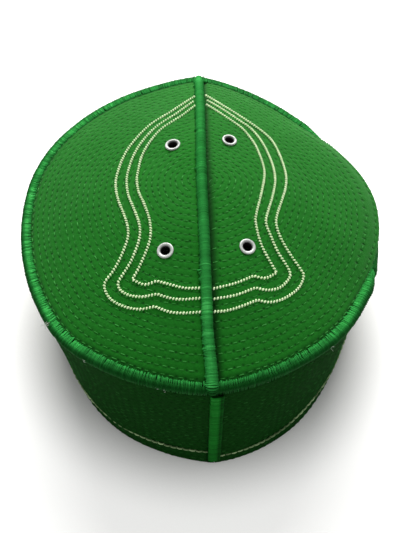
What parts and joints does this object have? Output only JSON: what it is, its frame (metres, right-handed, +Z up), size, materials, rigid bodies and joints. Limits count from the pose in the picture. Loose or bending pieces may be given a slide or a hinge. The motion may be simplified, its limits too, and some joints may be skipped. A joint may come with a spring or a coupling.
{
  "type": "kufi cap",
  "caption": "Brimless quilted kufi cap: tented oval crown with a stitched ridge, corded rim, small vent eyelets and an upright band open below for the head.",
  "frame": {"origin": "under the middle of the cap's bounding box, on the floor the band stands on", "axes": "+Z up; +Y from the front seam to the back seam, along the ridge; +X to the wearer's-left-hand side of a viewer facing the front, the crown's right half"},
  "size_m": [0.1832, 0.2, 0.0943],
  "materials": {
    "crown_cloth": "matte quilted cotton",
    "band_cloth": "matte quilted cotton",
    "satin_stitch": "satin-stitched thread with a soft sheen",
    "eyelet_metal": "bright plated"
  },
  "bodies": {
    "root": {"crown_left": "crown_cloth", "crown_right": "crown_cloth", "ridge_piping": "satin_stitch", "rim_cord_left": "satin_stitch", "rim_cord_right": "satin_stitch", "band_left": "band_cloth", "band_right": "band_cloth", "front_seam_bar": "satin_stitch", "back_seam_bar": "satin_stitch", "eyelet_front_left": "eyelet_metal", "eyelet_front_right": "eyelet_metal", "eyelet_back_left": "eyelet_metal", "eyelet_back_right": "eyelet_metal"}
  },
  "joints": []
}
